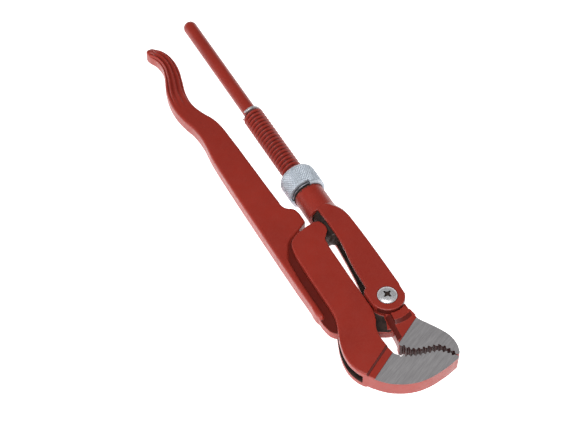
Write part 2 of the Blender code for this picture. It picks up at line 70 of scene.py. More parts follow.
def middle(node, axis):
    low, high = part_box(node)
    return (low[axis] + high[axis]) / 2


# The pivot's place on the spindle's axis, in the row frame, in metres.
ORIGIN = Vector((middle("adjusting_nut", 0), middle("pivot_screw", 1), middle("adjusting_nut", 2)))

CURVE_STEPS = 8
VOXEL = 0.3
THINNING = 0.3
CUT_REACH = 60.0

CHEEK_HALF = 7.2
CHEEK_ROUND = 0.9
HANDLE_ROUND = 1.6
ARM_ROUND = 0.7
BRIDGE_HALF = 5.4
SLOT_END_OFFSET = 7.5
SLOT_RIGHT_X = -19.2
SLOT_HALF = 3.2
WEB_HALF = 2.9
BARE_WEB_X = -24.0
JAW_HALF = 5.2
FORGED_HALF = 5.9
HANDLE_HALF = 5.0
SHOULDER_HALF = 7.6
SHOULDER_R = 16.6
SHOULDER_FOOT_R = 20.2
GROUND_ANGLE = math.radians(30.2)
GROUND_Y = -24.85
RAMP_LENGTH = 4.0
TOOTH_PITCH = 3.0
TOOTH_DEPTH = 1.35

ROOT_Y = 56.6
SHANK_END_Y = 88.0
THREAD_START_Y = 92.0
THREAD_END_Y = 173.0
ROD_END_Y = 267.2
SHANK_R = 6.9
CREST_R = 7.2
THREAD_ROOT_R = 5.7
PITCH = 3.0
ROD_R = 4.65
RING_GROOVE_R = 4.0

BORE_R = 7.5
SLEEVE_R = 9.9
SLEEVE_LOW_Y = 78.0
SLEEVE_TOP_Y = 104.5
ARM_TOP_Y = 79.5
WAY_TOP_Y = 78.3
ARM_INNER = 7.5
ARM_OUTER = 9.9
BOSS_INNER = 5.5
BOSS_R = 11.0
NUT_LOW_Y = 96.3
NUT_TOP_Y = 114.2
NUT_R = 12.3
WIRE_R = 0.65
WIRE_Y = 98.2
WIRE_RING_R = 10.05
PIVOT_HOLE_R = 4.3
BARREL_R = 4.0
HEAD_R = 6.1
SEAT_R = 6.5
HEAD_SEAT_Z = 9.0
LUG_R = 10.6
LUG_HALF = 5.1
CROSS_REACH = 3.1
SOCKET_R = 2.4
CROWN_START_Y = 96.0
RIDGE_HEIGHT = 1.5
NECK_LEAN = -6.0
NECK_SPOT = (-8.0, -18.9, 0.0)


# ---------------------------------------------------------------- materials


RANGE_SOCKETS = ("From Min", "From Max", "To Min", "To Max")


class Nodes:
    """Short calls for building one node material."""

    def __init__(self, name):
        self.material = bpy.data.materials.new(name)
        self.material.use_nodes = True
        self.tree = self.material.node_tree
        self.shader = self.tree.nodes["Principled BSDF"]
        self.place = self.add("ShaderNodeTexCoord").outputs["Object"]

    def add(self, kind, **settings):
        node = self.tree.nodes.new(kind)
        for key, value in settings.items():
            setattr(node, key, value)
        return node

    def link(self, output, socket):
        self.tree.links.new(output, socket)

    def stretched(self, turn, length):
        """Coordinates in which a texture is drawn out along a line turned in the flat plane."""
        mapping = self.add("ShaderNodeMapping", vector_type="TEXTURE")
        mapping.inputs["Rotation"].default_value = (0.0, 0.0, turn)
        mapping.inputs["Scale"].default_value = (length, 1.0, 1.0)
        self.link(self.place, mapping.inputs["Vector"])
        return mapping.outputs["Vector"]

    def noise(self, size_mm, detail=2.0, vector=None, roughness=0.5):
        node = self.add("ShaderNodeTexNoise")
        node.inputs["Scale"].default_value = 1.0 / (size_mm * MM)
        node.inputs["Detail"].default_value = detail
        node.inputs["Roughness"].default_value = roughness
        self.link(vector or self.place, node.inputs["Vector"])
        return node.outputs["Fac"]

    def ramp(self, value, low, high, low_value, high_value):
        node = self.add("ShaderNodeMapRange")
        for socket, number in zip(RANGE_SOCKETS, (low, high, low_value, high_value)):
            node.inputs[socket].default_value = number
        self.link(value, node.inputs["Value"])
        return node.outputs["Result"]

    def mix(self, factor, first, second):
        node = self.add("ShaderNodeMix", data_type="RGBA")
        self.link(factor, node.inputs["Factor"])
        for socket, colour in ((node.inputs[6], first), (node.inputs[7], second)):
            if hasattr(colour, "links"):
                self.link(colour, socket)
            else:
                socket.default_value = (*colour, 1.0)
        return node.outputs[2]

    def bumps(self, *layers):
        """Layers of (height output, depth in mm), the first lowest."""
        normal = None
        for height, depth in layers:
            bump = self.add("ShaderNodeBump")
            bump.inputs["Distance"].default_value = depth * MM
            self.link(height, bump.inputs["Height"])
            if normal is not None:
                self.link(normal, bump.inputs["Normal"])
            normal = bump.outputs["Normal"]
        self.link(normal, self.shader.inputs["Normal"])

    def set(self, **values):
        for name, value in values.items():
            self.shader.inputs[name.replace("_", " ")].default_value = value


def red_paint(name, depth):
    """Satin lacquer over a forged skin, a little uneven. Concave corners are painted darker as painted
    shade, and the depth argument scales the whole colour down to make darker, shaded copies.
    """
    n = Nodes(name)
    cloud = n.ramp(n.noise(28.0, 3.0), 0.35, 0.65, 0.0, 1.0)
    speck = n.ramp(n.noise(0.9, 2.0), 0.42, 0.62, 0.0, 0.6)
    base = n.mix(cloud, [depth * tone for tone in (0.325, 0.029, 0.018)],
                 [depth * tone for tone in (0.282, 0.026, 0.017)])
    # Painted shade: faces in concave corners (low pointiness) are mixed towards near-black red.
    corner = n.ramp(n.add("ShaderNodeNewGeometry").outputs["Pointiness"], 0.43, 0.485, 0.75, 0.0)
    speckled = n.mix(speck, base, [depth * tone for tone in (0.305, 0.035, 0.022)])
    n.link(n.mix(corner, speckled, (0.06, 0.008, 0.006)), n.shader.inputs["Base Color"])
    n.link(n.ramp(n.noise(6.0, 4.0), 0.3, 0.7, 0.34, 0.46), n.shader.inputs["Roughness"])
    n.bumps((n.noise(5.5, 3.0), 0.10), (n.noise(1.1, 2.0), 0.02))
    n.set(Coat_Weight=0.1, Coat_Roughness=0.2, Specular_IOR_Level=0.35)
    return n.material


def ground_steel():
    """Ground flat, with marks that run along the line where the grinding ends."""
    n = Nodes("ground_steel")
    along = n.stretched(GROUND_ANGLE, 24.0)
    across = n.stretched(GROUND_ANGLE - math.radians(6.0), 14.0)
    fine = n.noise(0.24, 4.0, along, 0.65)
    coarse = n.noise(0.9, 3.0, across, 0.6)
    tone = n.ramp(coarse, 0.35, 0.65, 0.0, 1.0)
    colour = n.mix(tone, (0.355, 0.343, 0.35), (0.46, 0.447, 0.455))
    line = n.ramp(fine, 0.4, 0.68, 0.0, 0.5)
    n.link(n.mix(line, colour, (0.25, 0.24, 0.247)), n.shader.inputs["Base Color"])
    n.link(n.ramp(fine, 0.3, 0.7, 0.6, 0.74), n.shader.inputs["Roughness"])
    n.bumps((coarse, 0.008), (fine, 0.012))
    n.set(Metallic=0.75)
    return n.material


def bare_steel_and_painted_shade():
    """Machined inner faces, left bare and oiled; the near-black colour is painted shade for these shadowed
    insides.
    """
    n = Nodes("bare_steel_and_painted_shade")
    patch = n.ramp(n.noise(4.0, 4.0), 0.35, 0.65, 0.0, 1.0)
    n.link(n.mix(patch, (0.020, 0.012, 0.010), (0.05, 0.03, 0.024)), n.shader.inputs["Base Color"])
    n.link(n.ramp(n.noise(0.7, 3.0), 0.3, 0.7, 0.42, 0.6), n.shader.inputs["Roughness"])
    n.bumps((n.noise(0.6, 3.0), 0.02),)
    n.set(Metallic=0.3)
    return n.material


def zinc():
    n = Nodes("zinc")
    patch = n.ramp(n.noise(3.0, 3.0), 0.35, 0.65, 0.0, 1.0)
    n.link(n.mix(patch, (0.47, 0.52, 0.58), (0.57, 0.62, 0.68)), n.shader.inputs["Base Color"])
    n.link(n.ramp(n.noise(0.8, 3.0), 0.3, 0.7, 0.48, 0.6), n.shader.inputs["Roughness"])
    n.bumps((n.noise(0.5, 3.0), 0.01),)
    n.set(Metallic=0.45)
    return n.material


def bright_steel(name, low, high):
    """Bright plating with fine turning marks and small scuffs, between two greys."""
    n = Nodes(name)
    patch = n.ramp(n.noise(2.0, 3.0), 0.35, 0.65, 0.0, 1.0)
    n.link(n.mix(patch, (low, low, low + 0.02), (high, high, high + 0.02)), n.shader.inputs["Base Color"])
    n.link(n.ramp(n.noise(0.6, 3.0), 0.3, 0.7, 0.2, 0.38), n.shader.inputs["Roughness"])
    n.bumps((n.noise(0.4, 2.0), 0.010),)
    n.set(Metallic=0.6)
    return n.material


def floor_white():
    n = Nodes("floor_white")
    tone = n.ramp(n.noise(60.0, 4.0), 0.3, 0.7, 0.0, 1.0)
    n.link(n.mix(tone, (0.88, 0.88, 0.88), (0.9, 0.9, 0.9)), n.shader.inputs["Base Color"])
    n.set(Roughness=0.8, Emission_Color=(1.0, 1.0, 1.0, 1.0), Emission_Strength=1.1)
    return n.material


PAINT = red_paint("red_paint", 1.0)
# Shaded copy of the paint: a darker red used as painted shade on steps, walls and webs that lie in shade.
PAINT_SHADED = red_paint("red_paint_painted_shade", 0.36)
# Darkest copy of the paint: painted shade in the tooth valleys and thread roots.
PAINT_DARKEST_SHADE = red_paint("red_paint_darkest_shade", 0.16)
GROUND = ground_steel()
# Bare steel painted near-black: painted shade in the fork's ways, the cheeks' slot, the bore, the web and
# the screw's recess.
BARE_STEEL_AND_SHADE = bare_steel_and_painted_shade()
ZINC = zinc()
BRIGHT = bright_steel("bright_steel", 0.74, 0.88)
SPRING = bright_steel("spring_wire", 0.13, 0.22)


# ---------------------------------------------------------------- shape helpers


def add_mesh(name, mesh):
    obj = bpy.data.objects.new(name, mesh)
    bpy.context.scene.collection.objects.link(obj)
    return obj


def baked(obj):
    """The evaluated mesh of an object, welded and facing out. The object is removed."""
    bpy.context.view_layer.update()
    graph = bpy.context.evaluated_depsgraph_get()
    mesh = bpy.data.meshes.new_from_object(obj.evaluated_get(graph))
    mesh.transform(obj.matrix_world)
    bpy.data.objects.remove(obj, do_unlink=True)
    shape = bmesh.new()
    shape.from_mesh(mesh)
    bmesh.ops.remove_doubles(shape, verts=shape.verts, dist=WELD)
    bmesh.ops.recalc_face_normals(shape, faces=shape.faces)
    shape.to_mesh(mesh)
    shape.free()
    return mesh


def slab(name, points, half, rounding=0.0, round_steps=3):
    """A flat solid about z=0. A point is (x, y) for a corner or (x, y, "s") for a smooth run."""
    data = bpy.data.curves.new(name, "CURVE")
    data.dimensions = "2D"
    data.fill_mode = "BOTH"
    data.resolution_u = CURVE_STEPS
    data.extrude = (half - rounding) * MM
    data.bevel_depth = rounding * MM
    data.bevel_resolution = round_steps
    data.offset = -rounding * MM
    spline = data.splines.new("BEZIER")
    spline.bezier_points.add(len(points) - 1)
    spline.use_cyclic_u = True
    for bezier, point in zip(spline.bezier_points, points):
        bezier.co = (point[0] * MM, point[1] * MM, 0.0)
        handle = "AUTO" if len(point) == 3 else "VECTOR"
        bezier.handle_left_type = handle
        bezier.handle_right_type = handle
    return add_mesh(name, baked(add_mesh(name, data)))


def block(name, low, high):
    mesh = bpy.data.meshes.new(name)
    shape = bmesh.new()
    bmesh.ops.create_cube(shape, size=1.0)
    size = Vector(high) - Vector(low)
    centre = (Vector(high) + Vector(low)) / 2
    fit = Matrix.Translation(centre * MM) @ Matrix.Diagonal((*(size * MM), 1.0))
    bmesh.ops.transform(shape, matrix=fit, verts=shape.verts)
    shape.to_mesh(mesh)
    shape.free()
    return add_mesh(name, mesh)


def turned(name, profile, axis="Y", steps=96):
    """A turned solid from (radius, place along the axis) points."""
    mesh = bpy.data.meshes.new(name)
    if axis == "Y":
        points = [(radius * MM, along * MM, 0.0) for radius, along in profile]
    else:
        points = [(radius * MM, 0.0, along * MM) for radius, along in profile]
    edges = [(i, i + 1) for i in range(len(points) - 1)]
    if profile[0][0] > 0.0:
        edges.append((len(points) - 1, 0))
    mesh.from_pydata(points, edges, [])
    obj = add_mesh(name, mesh)
    screw = obj.modifiers.new("Turn", "SCREW")
    screw.axis = axis
    screw.steps = steps
    screw.render_steps = steps
    screw.use_merge_vertices = True
    screw.merge_threshold = WELD
    return add_mesh(name, baked(obj))


def rounded(profile, radius, steps=3):
    """A profile with each inner corner rounded by small chords."""
    out = [profile[0]]
    for before, corner, after in zip(profile, profile[1:], profile[2:]):
        a, c, b = Vector(before), Vector(corner), Vector(after)
        cut = min(radius, 0.45 * (a - c).length, 0.45 * (b - c).length)
        start = c + (a - c).normalized() * cut
        end = c + (b - c).normalized() * cut
        for step in range(steps + 1):
            t = step / steps
            out.append(tuple(start * (1 - t) ** 2 + c * 2 * t * (1 - t) + end * t**2))
    return out + [profile[-1]]


def combine(target, other, operation):
    """Boolean of one solid with another, worked out at once. New faces keep their own material."""
    modifier = target.modifiers.new("Boolean", "BOOLEAN")
    modifier.operation = operation
    modifier.object = other
    modifier.solver = "EXACT"
    modifier.material_mode = "TRANSFER"
    name = target.name
    mesh = baked(target)
    bpy.data.objects.remove(other, do_unlink=True)
    return add_mesh(name, mesh)


def forged(obj, voxel, smooth, shape_points=None):
    """Melts a solid's parts together with soft edges, as a forging has."""
    remesh = obj.modifiers.new("Melt", "REMESH")
    remesh.mode = "VOXEL"
    remesh.voxel_size = voxel * MM
    soften = obj.modifiers.new("Soften", "SMOOTH")
    soften.factor = 0.5
    soften.iterations = smooth
    name = obj.name
    mesh = baked(obj)
    if shape_points:
        flat = np.empty(len(mesh.vertices) * 3)
        mesh.vertices.foreach_get("co", flat)
        moved = shape_points(flat.reshape(-1, 3) / MM) * MM
        mesh.vertices.foreach_set("co", moved.ravel())
        mesh.update()
    return add_mesh(name, mesh)


def thinned(obj, ratio):
    """Fewer faces where the surface is plain."""
    decimate = obj.modifiers.new("Thin", "DECIMATE")
    decimate.ratio = ratio
    name = obj.name
    return add_mesh(name, baked(obj))


def dress(obj, material, angle=40.0):
    """Gives faces without a material this one, and shades the mesh smooth but for its sharp edges."""
    mesh = obj.data
    if not [m for m in mesh.materials if m]:
        mesh.materials.clear()
        mesh.materials.append(material)
    for index, old in enumerate(mesh.materials):
        if old is None:
            mesh.materials[index] = material
    mesh.shade_smooth()
    mesh.set_sharp_from_angle(angle=math.radians(angle))
    return obj


def place(obj, name, body, nodes=()):
    """Moves a finished piece to the CAD's place and gives it to its body."""
    obj.data.transform(Matrix.Translation(ORIGIN))
    flat = np.empty(len(obj.data.vertices) * 3)
    obj.data.vertices.foreach_get("co", flat)
    inside = np.clip(flat.reshape(-1, 3), CAD_BOX[0], CAD_BOX[1])
    obj.data.vertices.foreach_set("co", inside.ravel())
    obj.name = name
    obj.data.name = name
    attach(obj, body)
    if nodes:
        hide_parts(*nodes)
    weighted = obj.modifiers.new("Even normals", "WEIGHTED_NORMAL")
    weighted.keep_sharp = True
    weighted.weight = 75
    return obj


def arc(radius, start, end, count):
    angles = [math.radians(start + (end - start) * step / count) for step in range(count + 1)]
    return [(radius * math.cos(angle), radius * math.sin(angle)) for angle in angles]


def ground_line(x, offset=0.0):
    return math.tan(GROUND_ANGLE) * x + GROUND_Y + offset / math.cos(GROUND_ANGLE)


def point_along(points, lengths, distance):
    """The point at a distance along a run of points, and the unit vector to its left."""
    for start, end, length in zip(points, points[1:], lengths):
        if distance <= length + 1e-9:
            along = (Vector(end) - Vector(start)) / length
            return Vector(start) + along * distance, Vector((-along.y, along.x))
        distance -= length
    along = (Vector(points[-1]) - Vector(points[-2])).normalized()
    return Vector(points[-1]), Vector((-along.y, along.x))


TEETH_REACH = 1.9
TOOTH_SHAPE = ((0.0, 0.04), (0.06, 0.0), (0.26, 0.0), (0.33, 0.05), (0.44, 0.93), (0.5, 1.0), (0.6, 1.0),
               (0.67, 0.93), (0.97, 0.12))


def teeth(points, side):
    """Teeth whose tips lie on the run of points, cut to the left of it for side 1."""
    lengths = [math.dist(a, b) for a, b in zip(points, points[1:])]
    total = sum(lengths)
    count = round(total / TOOTH_PITCH)
    out = []
    for tooth in range(count):
        for share, depth in TOOTH_SHAPE:
            spot, across = point_along(points, lengths, (tooth + share) / count * total)
            out.append(tuple(spot + side * TOOTH_DEPTH * depth * across))
    return out


# ---------------------------------------------------------------- outlines

CHEEK_OUTLINE = [
    (-20.5, 69.6, "s"), (-13.5, 71.2, "s"), (-8.4, 71.1, "s"), (-6.0, 68.0, "s"), (-6.0, 62.0, "s"),
    (-8.6, 58.8, "s"), (-10.8, 56.0, "s"), (-10.8, 53.2), (-11.35, 51.6), (-11.4, 42.0, "s"),
    (-11.6, 25.0), (-11.6, 5.0, "s"), (-12.0, -4.0, "s"), (-13.6, -9.8, "s"), (-16.4, -15.2, "s"),
    (-17.6, -21.0, "s"), (-17.5, -27.0, "s"), (-16.6, -33.0), (-18.0, -40.0), (-32.5, -48.0),
    (-36.9, -43.0), (-40.0, -39.4, "s"), (-42.5, -33.4, "s"), (-43.3, -26.4, "s"),
    (-41.4, -15.6, "s"), (-38.1, -7.2, "s"), (-34.9, 0.8, "s"), (-33.9, 8.0, "s"),
    (-33.8, 20.0, "s"), (-33.5, 40.0, "s"), (-32.2, 59.0, "s"), (-30.3, 64.2, "s"),
    (-26.6, 67.2, "s"),
]
LOWER_TIPS = [(-14.6, -37.2), (-8.6, -40.6), (-3.0, -42.9), (5.5, -44.8), (8.6, -45.9), (12.4, -49.2),
              (15.0, -53.2)]
HANDLE_OUTLINE = [
    (-37.6, 254.8, "s"), (-34.6, 256.0, "s"), (-30.6, 253.4, "s"), (-26.9, 248.2, "s"), (-25.1, 241.5, "s"),
    (-25.3, 230.5, "s"), (-28.0, 219.5, "s"), (-31.3, 207.0, "s"), (-31.6, 196.5, "s"), (-29.2, 188.0, "s"),
    (-25.6, 180.0, "s"), (-23.8, 172.8, "s"), (-22.9, 160.0, "s"), (-21.9, 130.0, "s"), (-20.9, 100.0, "s"),
    (-20.5, 93.6, "s"), (-18.9, 90.9, "s"), (-15.9, 88.8, "s"), (-14.4, 86.0, "s"), (-13.9, 81.0, "s"),
    (-14.0, 76.2), (-20.1, 72.5), (-24.8, 70.2, "s"), (-28.8, 68.1, "s"), (-31.8, 65.2, "s"),
    (-34.0, 61.6, "s"), (-37.0, 56.0, "s"), (-38.2, 46.0, "s"), (-38.8, 30.0, "s"), (-38.8, 12.0, "s"),
    (-39.2, 8.2, "s"), (-40.6, 7.2, "s"), (-42.0, 8.8, "s"), (-42.4, 20.0, "s"), (-42.8, 47.0, "s"),
    (-42.7, 80.0, "s"), (-42.4, 127.0, "s"), (-41.7, 150.0, "s"), (-40.2, 166.0, "s"), (-40.9, 177.0, "s"),
    (-43.3, 187.0, "s"), (-44.5, 197.0, "s"), (-43.9, 207.0, "s"), (-41.2, 218.0, "s"), (-36.7, 229.0, "s"),
    (-34.8, 236.5, "s"), (-35.4, 244.0, "s"), (-37.8, 250.4, "s"),
]
# The middle of the handle from the tip of the hook to the shoulder, with half the width there.
HANDLE_MIDDLE = [
    (-37.8, 253.4, 2.6), (-34.4, 250.6, 4.2), (-31.4, 246.6, 4.9), (-30.0, 241.0, 5.0), (-30.2, 234.0, 4.9),
    (-32.4, 224.0, 5.6), (-36.4, 212.0, 6.1), (-38.0, 200.0, 6.4), (-36.8, 189.0, 6.8), (-33.8, 177.0, 7.6),
    (-32.0, 165.0, 8.6), (-31.8, 140.0, 10.0), (-31.7, 110.0, 10.7), (-31.7, 95.0, 11.0),
]
WEB_OUTLINE = [
    (-20.1, 78.0), (-20.1, 14.6, "s"), (-18.2, 11.4, "s"), (-14.0, 10.6), (-4.0, 9.8), (-2.0, -13.0),
    (-7.0, -20.4), (-8.8, -20.4, "s"), (-11.5, -19.4, "s"), (-14.5, -17.7, "s"), (-18.5, -14.8, "s"),
    (-26.0, -10.6, "s"), (-35.0, -7.6, "s"), (-39.6, -4.6, "s"), (-41.7, 1.2, "s"), (-42.0, 12.0, "s"),
    (-42.3, 30.0), (-42.3, 78.0),
]
UPPER_TIPS = [(-9.9, -32.6), (-5.8, -38.0), (-1.5, -40.1), (8.3, -42.8), (11.2, -44.1), (13.6, -48.4),
              (15.5, -52.6)]
ARM_BLEND = [
    (0.0, -30.0), (16.0, -30.0), (16.0, 40.0), (14.9, 56.0), (14.3, 62.0), (13.6, 67.0), (12.7, 71.0),
    (11.6, 74.0), (10.6, 76.6), (9.9, 79.0), (9.7, ARM_TOP_Y + 0.5), (0.0, ARM_TOP_Y + 0.5),
]
REAR_RELIEF = [(-15.0, 14.0), (-7.3, 14.0), (-5.2, 25.0, "s"), (-3.5, 38.0, "s"), (-2.3, 50.0, "s"),
               (-1.7, 60.0, "s"), (-3.0, 69.0, "s"), (-6.0, 76.0), (-15.0, 76.0)]


def lower_jaw_outline():
    outside = [(-37.2, -42.8), (-35.4, -45.5, "s"), (-30.6, -50.9, "s"), (-25.2, -54.9, "s"),
               (-16.8, -58.7, "s"), (-8.6, -60.1, "s"), (3.6, -59.2, "s"), (13.0, -57.0, "s"),
               (16.2, -55.6, "s"), (15.9, -54.2)]
    run = list(reversed(teeth(LOWER_TIPS, -1.0)))
    throat = [(-16.0, -35.4), (-16.8, -33.2), (-17.6, ground_line(-17.6, RAMP_LENGTH))]
    return outside + run + throat + [(-35.8, ground_line(-35.8, RAMP_LENGTH))]


def upper_jaw_outline():
    right = [(17.4, -54.0, "s"), (19.2, -51.0, "s"), (20.2, -46.2, "s"), (19.7, -40.5, "s"),
             (17.4, -34.6, "s"), (12.9, -26.8, "s"), (9.2, -20.2, "s"), (8.0, -15.0, "s"), (8.0, -6.0)]
    left = [(-6.0, -6.0), (-7.4, -13.0, "s"), (-7.8, -18.0, "s"), (-8.3, -23.5, "s"), (-9.2, -28.0, "s"),
            (-10.3, -31.3)]
    return right + left + teeth(UPPER_TIPS, 1.0) + [(15.9, -53.4)]


def arm_outline():
    left = [(-4.3, ARM_TOP_Y), (-4.3, 50.0, "s"), (-7.2, 29.0, "s"), (-8.2, 11.0), (-10.1, 10.2),
            (-BOSS_R, 8.8)]
    right = [(10.6, 2.2), (11.1, 4.6), (11.1, 42.0, "s"), (10.5, 64.0, "s"), (9.8, ARM_TOP_Y)]
    return left + arc(BOSS_R, 180.0, 340.0, 32) + right


# ---------------------------------------------------------------- forgings


def flank_cutter(name, profile, side, material=None):
    """A long cutter across the tool. The profile is (distance beyond the ground line, height)."""
    cutter = slab(name, profile, CUT_REACH)
    upright = Matrix.Rotation(math.radians(90.0), 4, "X")
    turn = Matrix.Rotation(GROUND_ANGLE - math.radians(90.0), 4, "Z")
    shift = Matrix.Translation(Vector((0.0, GROUND_Y, 0.0)) * MM)
    cutter.data.transform(Matrix.Diagonal((1.0, 1.0, side, 1.0)) @ shift @ turn @ upright)
    if side < 0:
        cutter.data.flip_normals()
    if material:
        cutter.data.materials.clear()
        cutter.data.materials.append(material)
    return cutter


def ramp_profile():
    """From the cheek's face down a steep wall to the forged face of the jaw, with a hollow corner."""
    return [(-5.6, CHEEK_HALF + 1.0), (-5.3, CHEEK_HALF), (-4.3, FORGED_HALF), (-3.9, FORGED_HALF - 0.15),
            (60.0, FORGED_HALF - 0.2), (60.0, 12.0), (-5.6, 12.0)]


def grind(leg):
    """Grinds both flat sides of a jaw, beyond the ground line only."""
    for side in (1, -1):
        profile = [(0.0, JAW_HALF), (60.0, JAW_HALF), (60.0, 12.0), (0.0, 12.0)]
        leg = combine(leg, flank_cutter("grind", profile, side, GROUND), "DIFFERENCE")
    return leg


def marked(obj, material, chosen):
    """Gives a second material to the faces that are chosen by their middle and normal, in millimetres."""
    obj.data.materials.append(material)
    index = len(obj.data.materials) - 1
    for face in obj.data.polygons:
        if chosen(face.center / MM, face.normal):
            face.material_index = index
    return obj


def on_bare_web(middle_mm, normal):
    """The web's flat sides are ground bare near the pivot, where they run in the cheeks' slot."""
    flat = abs(normal.z) > 0.97 and abs(abs(middle_mm.z) - WEB_HALF) < 0.12
    return flat and middle_mm.x > BARE_WEB_X and middle_mm.y < ROOT_Y


def in_fork_ways(middle_mm, normal):
    """The faces of the two arms that look at each other, the bore, and the collar inside the nut."""
    facing = normal.z * middle_mm.z < 0.0 and abs(normal.z) > 0.6
    between = BOSS_INNER - 0.3 < abs(middle_mm.z) < ARM_INNER + 0.3 and middle_mm.y < WAY_TOP_Y
    in_bore = math.hypot(middle_mm.x, middle_mm.z) < BORE_R + 0.2 and middle_mm.y > 10.0
    in_nut = middle_mm.y > NUT_LOW_Y - 0.5
    return (facing and between) or in_bore or in_nut


def in_cheek_slot(middle_mm, normal):
    """The walls of the slot between the cheeks, and the guide that the fork slides on."""
    facing = normal.z * middle_mm.z < 0.0 and abs(normal.z) > 0.6
    guide = middle_mm.x > -10.5 and middle_mm.y > 52.0 and abs(middle_mm.z) < CHEEK_HALF - 0.25
    return (facing and abs(abs(middle_mm.z) - SLOT_HALF) < 0.3) or guide


def beside_run(run, reach, middle_mm, normal):
    """Walls within reach of a row of tooth tips."""
    if abs(normal.z) > 0.6:
        return False
    spot = middle_mm.xy
    for start, end in zip(run, run[1:]):
        near, share = intersect_point_line(spot, Vector(start), Vector(end))
        if -0.1 < share < 1.1 and (spot - near.xy).length < reach:
            return True
    return False


def in_lower_teeth(middle_mm, normal):
    return beside_run(LOWER_TIPS, TEETH_REACH, middle_mm, normal)


def in_upper_teeth(middle_mm, normal):
    return beside_run(UPPER_TIPS, TEETH_REACH, middle_mm, normal)


def on_ramp_wall(middle_mm, normal):
    """The step from the cheek down to the jaw."""
    beyond = (ground_line(middle_mm.x) - middle_mm.y) * math.cos(GROUND_ANGLE)
    steep = 0.25 < normal.x * math.sin(GROUND_ANGLE) - normal.y * math.cos(GROUND_ANGLE)
    return steep and -6.2 < beyond < 0.4 and abs(middle_mm.z) > JAW_HALF - 0.1


def on_shoulder_wall(middle_mm, normal):
    """The slopes below the shoulder and beside the neck."""
    below = -31.0 < middle_mm.y < -10.0 and abs(normal.z) < 0.9 and normal.y < 0.2
    outer = middle_mm.x > 7.0 or abs(middle_mm.z) < WEB_HALF + 0.3
    return below and not outer and abs(middle_mm.x) < 9.5


def on_web(middle_mm, normal):
    flat = abs(normal.z) > 0.9 and abs(abs(middle_mm.z) - WEB_HALF) < 0.3
    return flat and middle_mm.x <= BARE_WEB_X and middle_mm.y < SLEEVE_LOW_Y


def under_boss(middle_mm, normal):
    """The wall of the fork's round ends that looks at the jaws."""
    return middle_mm.y < -5.0 and abs(normal.z) < 0.5


def in_cross(middle_mm, normal):
    """The inside of the screw's cross recess."""
    radius = math.hypot(middle_mm.x, middle_mm.y)
    above_seat = middle_mm.z - HEAD_SEAT_Z
    return radius < CROSS_REACH and above_seat > 0.2 and (normal.z < 0.7 or above_seat < 1.4)


def in_thread_root(middle_mm, normal):
    radius = math.hypot(middle_mm.x, middle_mm.z)
    return radius < THREAD_ROOT_R + 0.3 and middle_mm.y < THREAD_END_Y and abs(normal.y) < 0.9


def with_paint(obj):
    obj.data.materials.clear()
    obj.data.materials.append(PAINT)
    return obj


def build_spindle_leg():
    leg = slab("leg", CHEEK_OUTLINE, CHEEK_HALF, CHEEK_ROUND)
    for side in (1, -1):
        leg = combine(leg, flank_cutter("ramp", ramp_profile(), side), "DIFFERENCE")
    low = [(x, ground_line(x, SLOT_END_OFFSET)) for x in (-CUT_REACH, 0.0)]
    high = [(0.0, ROOT_Y), (SLOT_RIGHT_X, ROOT_Y), (SLOT_RIGHT_X, 90.0), (-CUT_REACH, 90.0)]
    window = slab("window", low + high, SLOT_HALF)
    leg = combine(leg, window, "DIFFERENCE")
    jaw = slab("jaw", lower_jaw_outline(), FORGED_HALF)
    leg = combine(leg, jaw, "UNION")
    bridge = [(-14.0, ROOT_Y + 1.5), (0.0, ROOT_Y + 1.5), (0.0, 69.5), (-14.0, 69.5)]
    leg = combine(leg, slab("bridge", bridge, BRIDGE_HALF), "UNION")
    shank = [(0.0, ROOT_Y), (SHANK_R - 1.2, ROOT_Y), (SHANK_R, ROOT_Y + 1.2), (SHANK_R, SHANK_END_Y),
             (0.0, SHANK_END_Y)]
    leg = combine(leg, turned("shank", shank), "UNION")
    leg = with_paint(thinned(forged(leg, VOXEL, 4), THINNING))
    # The slot walls get near-black painted shade, the tooth walls the darkest painted-shade red, and the
    # ramp wall the shaded red.
    leg = marked(grind(leg), BARE_STEEL_AND_SHADE, in_cheek_slot)
    leg = marked(marked(leg, PAINT_DARKEST_SHADE, in_lower_teeth), PAINT_SHADED, on_ramp_wall)
    place(dress(leg, PAINT), "spindle_leg_forging", "spindle_leg_body", ["spindle_leg"])


